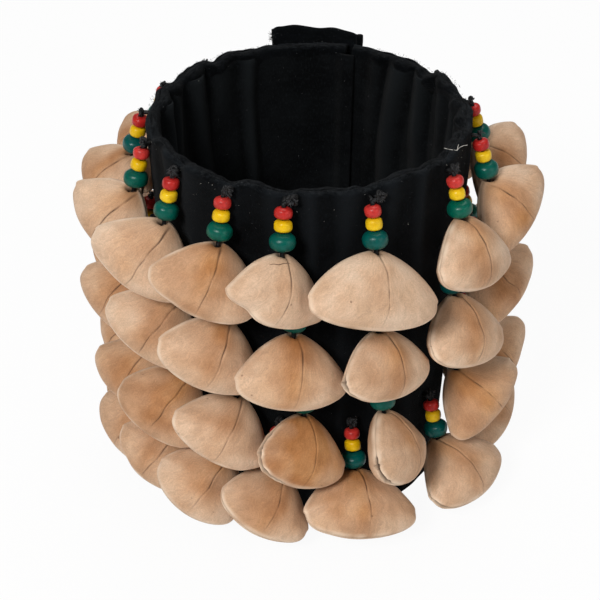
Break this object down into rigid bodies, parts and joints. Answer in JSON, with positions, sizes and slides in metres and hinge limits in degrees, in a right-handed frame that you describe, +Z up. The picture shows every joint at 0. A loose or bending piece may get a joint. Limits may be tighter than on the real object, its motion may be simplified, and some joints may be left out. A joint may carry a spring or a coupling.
{
  "type": "foot rattle",
  "caption": "Gathered cloth cuff worn round the ankle, closed by a flap at the back, hung with rows of hollow nut shells on beaded cords that knock together when the foot moves.",
  "frame": {"origin": "where the cuff's axis meets the plane that the bottom hem stands on", "axes": "+Z up along the cuff's axis, -Y towards the front, with the flap at the back (+Y)"},
  "size_m": [0.1528, 0.1415, 0.1341],
  "materials": {
    "outer_cotton": "matte black cotton",
    "lining_cotton": "matte black cotton",
    "felt": "stiff felt",
    "hook_tape": "woven with small hooks",
    "loop_tape": "woven with small loops",
    "cord": "waxed twisted cotton",
    "red_paint": "satin paint",
    "yellow_paint": "satin paint",
    "green_paint": "satin paint",
    "nut_shell": "dry matte shell"
  },
  "bodies": {
    "cuff": {"outer_cloth": "outer_cotton", "interlining": "felt", "lining_cloth": "lining_cotton", "top_hem": "outer_cotton", "bottom_hem": "outer_cotton", "loop_tape": "loop_tape", "cords": "cord", "red_beads": "red_paint", "yellow_beads": "yellow_paint", "green_beads": "green_paint"},
    "flap": {"closure_flap": "outer_cotton", "hook_tape": "hook_tape"},
    "row1_shell_01": {"row1_shell_01": "nut_shell"},
    "row1_shell_02": {"row1_shell_02": "nut_shell"},
    "row1_shell_03": {"row1_shell_03": "nut_shell"},
    "row1_shell_04": {"row1_shell_04": "nut_shell"},
    "row1_shell_05": {"row1_shell_05": "nut_shell"},
    "row1_shell_06": {"row1_shell_06": "nut_shell"},
    "row1_shell_07": {"row1_shell_07": "nut_shell"},
    "row1_shell_08": {"row1_shell_08": "nut_shell"},
    "row1_shell_09": {"row1_shell_09": "nut_shell"},
    "row1_shell_10": {"row1_shell_10": "nut_shell"},
    "row1_shell_11": {"row1_shell_11": "nut_shell"},
    "row1_shell_12": {"row1_shell_12": "nut_shell"},
    "row2_shell_01": {"row2_shell_01": "nut_shell"},
    "row2_shell_02": {"row2_shell_02": "nut_shell"},
    "row2_shell_03": {"row2_shell_03": "nut_shell"},
    "row2_shell_04": {"row2_shell_04": "nut_shell"},
    "row2_shell_05": {"row2_shell_05": "nut_shell"},
    "row2_shell_06": {"row2_shell_06": "nut_shell"},
    "row2_shell_07": {"row2_shell_07": "nut_shell"},
    "row2_shell_08": {"row2_shell_08": "nut_shell"},
    "row2_shell_09": {"row2_shell_09": "nut_shell"},
    "row2_shell_10": {"row2_shell_10": "nut_shell"},
    "row2_shell_11": {"row2_shell_11": "nut_shell"},
    "row2_shell_12": {"row2_shell_12": "nut_shell"},
    "row3_shell_01": {"row3_shell_01": "nut_shell"},
    "row3_shell_02": {"row3_shell_02": "nut_shell"},
    "row3_shell_03": {"row3_shell_03": "nut_shell"},
    "row3_shell_04": {"row3_shell_04": "nut_shell"},
    "row3_shell_05": {"row3_shell_05": "nut_shell"},
    "row3_shell_06": {"row3_shell_06": "nut_shell"},
    "row3_shell_07": {"row3_shell_07": "nut_shell"},
    "row3_shell_08": {"row3_shell_08": "nut_shell"},
    "row3_shell_09": {"row3_shell_09": "nut_shell"},
    "row3_shell_10": {"row3_shell_10": "nut_shell"},
    "row3_shell_11": {"row3_shell_11": "nut_shell"},
    "row3_shell_12": {"row3_shell_12": "nut_shell"},
    "row4_shell_01": {"row4_shell_01": "nut_shell"},
    "row4_shell_02": {"row4_shell_02": "nut_shell"},
    "row4_shell_03": {"row4_shell_03": "nut_shell"},
    "row4_shell_04": {"row4_shell_04": "nut_shell"},
    "row4_shell_05": {"row4_shell_05": "nut_shell"},
    "row4_shell_06": {"row4_shell_06": "nut_shell"},
    "row4_shell_07": {"row4_shell_07": "nut_shell"},
    "row4_shell_08": {"row4_shell_08": "nut_shell"},
    "row4_shell_09": {"row4_shell_09": "nut_shell"},
    "row4_shell_10": {"row4_shell_10": "nut_shell"},
    "row4_shell_11": {"row4_shell_11": "nut_shell"},
    "row4_shell_12": {"row4_shell_12": "nut_shell"}
  },
  "joints": [
    {"name": "flap_hinge", "type": "hinge", "parent": "cuff", "child": "flap", "pos_m": [0.01467, 0.04386, 0.004], "axis": [-0.0195, -0.0582, -0.9981], "range_deg": [0, 95]},
    {"name": "row1_shell_01_swing", "type": "hinge", "parent": "cuff", "child": "row1_shell_01", "pos_m": [-0.03791, 0.04518, 0.10832], "axis": [0.766, 0.6428, 0], "range_deg": [0, 18]},
    {"name": "row1_shell_02_swing", "type": "hinge", "parent": "cuff", "child": "row1_shell_02", "pos_m": [-0.05207, 0.02769, 0.10832], "axis": [0.4695, 0.8829, 0], "range_deg": [0, 18]},
    {"name": "row1_shell_03_swing", "type": "hinge", "parent": "cuff", "child": "row1_shell_03", "pos_m": [-0.05865, 0.00616, 0.10832], "axis": [0.1045, 0.9945, 0], "range_deg": [0, 18]},
    {"name": "row1_shell_04_swing", "type": "hinge", "parent": "cuff", "child": "row1_shell_04", "pos_m": [-0.0564, -0.01724, 0.10832], "axis": [-0.2924, 0.9563, 0], "range_deg": [0, 18]},
    {"name": "row1_shell_05_swing", "type": "hinge", "parent": "cuff", "child": "row1_shell_05", "pos_m": [-0.04518, -0.03791, 0.10832], "axis": [-0.6428, 0.766, 0], "range_deg": [0, 18]},
    {"name": "row1_shell_06_swing", "type": "hinge", "parent": "cuff", "child": "row1_shell_06", "pos_m": [-0.02771, -0.05212, 0.10932], "axis": [-0.8829, 0.4695, 0], "range_deg": [0, 18]},
    {"name": "row1_shell_07_swing", "type": "hinge", "parent": "cuff", "child": "row1_shell_07", "pos_m": [-0.00822, -0.05846, 0.10932], "axis": [-0.9903, 0.1392, 0], "range_deg": [0, 18]},
    {"name": "row1_shell_08_swing", "type": "hinge", "parent": "cuff", "child": "row1_shell_08", "pos_m": [0.02017, -0.05542, 0.10832], "axis": [-0.9397, -0.342, 0], "range_deg": [0, 18]},
    {"name": "row1_shell_09_swing", "type": "hinge", "parent": "cuff", "child": "row1_shell_09", "pos_m": [0.04766, -0.03463, 0.10732], "axis": [-0.5878, -0.809, 0], "range_deg": [0, 18]},
    {"name": "row1_shell_10_swing", "type": "hinge", "parent": "cuff", "child": "row1_shell_10", "pos_m": [0.05819, -0.00922, 0.10732], "axis": [-0.1564, -0.9877, 0], "range_deg": [0, 18]},
    {"name": "row1_shell_11_swing", "type": "hinge", "parent": "cuff", "child": "row1_shell_11", "pos_m": [0.05722, 0.01427, 0.10832], "axis": [0.2419, -0.9703, 0], "range_deg": [0, 18]},
    {"name": "row1_shell_12_swing", "type": "hinge", "parent": "cuff", "child": "row1_shell_12", "pos_m": [0.0471, 0.03549, 0.10832], "axis": [0.6018, -0.7986, 0], "range_deg": [0, 18]},
    {"name": "row2_shell_01_swing", "type": "hinge", "parent": "cuff", "child": "row2_shell_01", "pos_m": [-0.03744, 0.04307, 0.07732], "axis": [0.7547, 0.6561, 0], "range_deg": [0, 16]},
    {"name": "row2_shell_02_swing", "type": "hinge", "parent": "cuff", "child": "row2_shell_02", "pos_m": [-0.05085, 0.02591, 0.07732], "axis": [0.454, 0.891, 0], "range_deg": [0, 16]},
    {"name": "row2_shell_03_swing", "type": "hinge", "parent": "cuff", "child": "row2_shell_03", "pos_m": [-0.05691, 0.00498, 0.07832], "axis": [0.0872, 0.9962, 0], "range_deg": [0, 16]},
    {"name": "row2_shell_04_swing", "type": "hinge", "parent": "cuff", "child": "row2_shell_04", "pos_m": [-0.05445, -0.01769, 0.08032], "axis": [-0.309, 0.9511, 0], "range_deg": [0, 16]},
    {"name": "row2_shell_05_swing", "type": "hinge", "parent": "cuff", "child": "row2_shell_05", "pos_m": [-0.04325, -0.0376, 0.08132], "axis": [-0.6561, 0.7547, 0], "range_deg": [0, 16]},
    {"name": "row2_shell_06_swing", "type": "hinge", "parent": "cuff", "child": "row2_shell_06", "pos_m": [-0.02691, -0.0506, 0.08132], "axis": [-0.8829, 0.4695, 0], "range_deg": [0, 16]},
    {"name": "row2_shell_07_swing", "type": "hinge", "parent": "cuff", "child": "row2_shell_07", "pos_m": [-0.00498, -0.05697, 0.07932], "axis": [-0.9962, 0.0872, 0], "range_deg": [0, 16]},
    {"name": "row2_shell_08_swing", "type": "hinge", "parent": "cuff", "child": "row2_shell_08", "pos_m": [0.0214, -0.05297, 0.07832], "axis": [-0.9272, -0.3746, 0], "range_deg": [0, 16]},
    {"name": "row2_shell_09_swing", "type": "hinge", "parent": "cuff", "child": "row2_shell_09", "pos_m": [0.0468, -0.03277, 0.07832], "axis": [-0.5736, -0.8192, 0], "range_deg": [0, 16]},
    {"name": "row2_shell_10_swing", "type": "hinge", "parent": "cuff", "child": "row2_shell_10", "pos_m": [0.05651, -0.00794, 0.07732], "axis": [-0.1392, -0.9903, 0], "range_deg": [0, 16]},
    {"name": "row2_shell_11_swing", "type": "hinge", "parent": "cuff", "child": "row2_shell_11", "pos_m": [0.05512, 0.01477, 0.07732], "axis": [0.2588, -0.9659, 0], "range_deg": [0, 16]},
    {"name": "row2_shell_12_swing", "type": "hinge", "parent": "cuff", "child": "row2_shell_12", "pos_m": [0.04497, 0.03513, 0.07732], "axis": [0.6157, -0.788, 0], "range_deg": [0, 16]},
    {"name": "row3_shell_01_swing", "type": "hinge", "parent": "cuff", "child": "row3_shell_01", "pos_m": [-0.03619, 0.04163, 0.04632], "axis": [0.7547, 0.6561, 0], "range_deg": [0, 8]},
    {"name": "row3_shell_02_swing", "type": "hinge", "parent": "cuff", "child": "row3_shell_02", "pos_m": [-0.04957, 0.02418, 0.04632], "axis": [0.4384, 0.8988, 0], "range_deg": [0, 8]},
    {"name": "row3_shell_03_swing", "type": "hinge", "parent": "cuff", "child": "row3_shell_03", "pos_m": [-0.0552, 0.00289, 0.04832], "axis": [0.0523, 0.9986, 0], "range_deg": [0, 8]},
    {"name": "row3_shell_04_swing", "type": "hinge", "parent": "cuff", "child": "row3_shell_04", "pos_m": [-0.05206, -0.01895, 0.05032], "axis": [-0.342, 0.9397, 0], "range_deg": [0, 8]},
    {"name": "row3_shell_05_swing", "type": "hinge", "parent": "cuff", "child": "row3_shell_05", "pos_m": [-0.04061, -0.03787, 0.05232], "axis": [-0.682, 0.7314, 0], "range_deg": [0, 8]},
    {"name": "row3_shell_06_swing", "type": "hinge", "parent": "cuff", "child": "row3_shell_06", "pos_m": [-0.02344, -0.05027, 0.05132], "axis": [-0.9063, 0.4226, 0], "range_deg": [0, 8]},
    {"name": "row3_shell_07_swing", "type": "hinge", "parent": "cuff", "child": "row3_shell_07", "pos_m": [-0.00193, -0.05518, 0.04732], "axis": [-0.9994, 0.0349, 0], "range_deg": [0, 8]},
    {"name": "row3_shell_08_swing", "type": "hinge", "parent": "cuff", "child": "row3_shell_08", "pos_m": [0.02413, -0.04946, 0.04432], "axis": [-0.8988, -0.4384, 0], "range_deg": [0, 8]},
    {"name": "row3_shell_09_swing", "type": "hinge", "parent": "cuff", "child": "row3_shell_09", "pos_m": [0.04904, -0.02498, 0.04432], "axis": [-0.454, -0.891, 0], "range_deg": [0, 8]},
    {"name": "row3_shell_10_swing", "type": "hinge", "parent": "cuff", "child": "row3_shell_10", "pos_m": [0.05496, -0.00384, 0.04532], "axis": [-0.0698, -0.9976, 0], "range_deg": [0, 8]},
    {"name": "row3_shell_11_swing", "type": "hinge", "parent": "cuff", "child": "row3_shell_11", "pos_m": [0.05215, 0.01796, 0.04632], "axis": [0.3256, -0.9455, 0], "range_deg": [0, 8]},
    {"name": "row3_shell_12_swing", "type": "hinge", "parent": "cuff", "child": "row3_shell_12", "pos_m": [0.04163, 0.03619, 0.04632], "axis": [0.6561, -0.7547, 0], "range_deg": [0, 8]},
    {"name": "row4_shell_01_swing", "type": "hinge", "parent": "cuff", "child": "row4_shell_01", "pos_m": [-0.03447, 0.04107, 0.02132], "axis": [0.766, 0.6428, 0], "range_deg": [0, 4]},
    {"name": "row4_shell_02_swing", "type": "hinge", "parent": "cuff", "child": "row4_shell_02", "pos_m": [-0.04734, 0.02517, 0.02132], "axis": [0.4695, 0.8829, 0], "range_deg": [0, 4]},
    {"name": "row4_shell_03_swing", "type": "hinge", "parent": "cuff", "child": "row4_shell_03", "pos_m": [-0.05345, 0.00562, 0.02332], "axis": [0.1045, 0.9945, 0], "range_deg": [0, 4]},
    {"name": "row4_shell_04_swing", "type": "hinge", "parent": "cuff", "child": "row4_shell_04", "pos_m": [-0.05178, -0.01485, 0.02532], "axis": [-0.2756, 0.9613, 0], "range_deg": [0, 4]},
    {"name": "row4_shell_05_swing", "type": "hinge", "parent": "cuff", "child": "row4_shell_05", "pos_m": [-0.04312, -0.03249, 0.02732], "axis": [-0.6018, 0.7986, 0], "range_deg": [0, 4]},
    {"name": "row4_shell_06_swing", "type": "hinge", "parent": "cuff", "child": "row4_shell_06", "pos_m": [-0.02937, -0.04523, 0.02632], "axis": [-0.8387, 0.5446, 0], "range_deg": [0, 4]},
    {"name": "row4_shell_07_swing", "type": "hinge", "parent": "cuff", "child": "row4_shell_07", "pos_m": [-0.01117, -0.05257, 0.02332], "axis": [-0.9781, 0.2079, 0], "range_deg": [0, 4]},
    {"name": "row4_shell_08_swing", "type": "hinge", "parent": "cuff", "child": "row4_shell_08", "pos_m": [0.0148, -0.0516, 0.02232], "axis": [-0.9613, -0.2756, 0], "range_deg": [0, 4]},
    {"name": "row4_shell_09_swing", "type": "hinge", "parent": "cuff", "child": "row4_shell_09", "pos_m": [0.04382, -0.03068, 0.01932], "axis": [-0.5736, -0.8192, 0], "range_deg": [0, 4]},
    {"name": "row4_shell_10_swing", "type": "hinge", "parent": "cuff", "child": "row4_shell_10", "pos_m": [0.05352, -0.00187, 0.02032], "axis": [-0.0349, -0.9994, 0], "range_deg": [0, 4]},
    {"name": "row4_shell_11_swing", "type": "hinge", "parent": "cuff", "child": "row4_shell_11", "pos_m": [0.05006, 0.01922, 0.02132], "axis": [0.3584, -0.9336, 0], "range_deg": [0, 4]},
    {"name": "row4_shell_12_swing", "type": "hinge", "parent": "cuff", "child": "row4_shell_12", "pos_m": [0.03921, 0.03657, 0.02132], "axis": [0.682, -0.7314, 0], "range_deg": [0, 4]}
  ]
}
